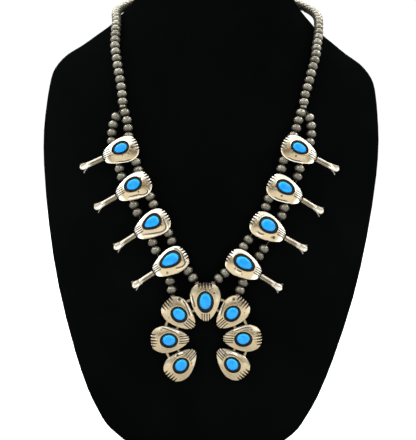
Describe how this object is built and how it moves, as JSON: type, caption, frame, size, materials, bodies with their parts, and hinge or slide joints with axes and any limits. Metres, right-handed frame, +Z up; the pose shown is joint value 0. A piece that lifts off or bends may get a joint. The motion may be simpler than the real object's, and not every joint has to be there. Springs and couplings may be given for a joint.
{
  "type": "squash blossom necklace on neck bust",
  "caption": "Silver squash blossom necklace with domed shadowbox turquoise blossoms and a crescent pendant, lying on a plain velvet neck bust.",
  "frame": {"origin": "under the middle of the whole, on the surface that the bust stands on", "axes": "+Z up, -Y out of the chest, +X to the right of someone who looks at the chest"},
  "size_m": [0.254, 0.1568, 0.396],
  "materials": {
    "velvet": "black velvet, matt with a soft edge sheen",
    "silver": "worn satin silver, darker in its grooves",
    "bead_silver": "oxidised silver with polished high spots",
    "turquoise": "polished sky-blue stone with faint darker spots",
    "thread": "dark waxed thread"
  },
  "bodies": {
    "root": {"bust": "velvet", "clasp": "silver", "thread_left": "thread", "thread_right": "thread", "string_left": "bead_silver", "string_right": "bead_silver", "strand_left_inner": "bead_silver", "strand_left_outer": "bead_silver", "strand_right_inner": "bead_silver", "strand_right_outer": "bead_silver", "blossom_left_1": "silver", "blossom_left_2": "silver", "blossom_left_3": "silver", "blossom_left_4": "silver", "blossom_right_1": "silver", "blossom_right_2": "silver", "blossom_right_3": "silver", "blossom_right_4": "silver", "stone_left_1": "turquoise", "stone_left_2": "turquoise", "stone_left_3": "turquoise", "stone_left_4": "turquoise", "stone_right_1": "turquoise", "stone_right_2": "turquoise", "stone_right_3": "turquoise", "stone_right_4": "turquoise", "crescent": "silver", "crescent_stone_1": "turquoise", "crescent_stone_2": "turquoise", "crescent_stone_3": "turquoise", "crescent_stone_4": "turquoise", "crescent_stone_5": "turquoise", "crescent_stone_6": "turquoise", "crescent_stone_7": "turquoise"}
  },
  "joints": []
}
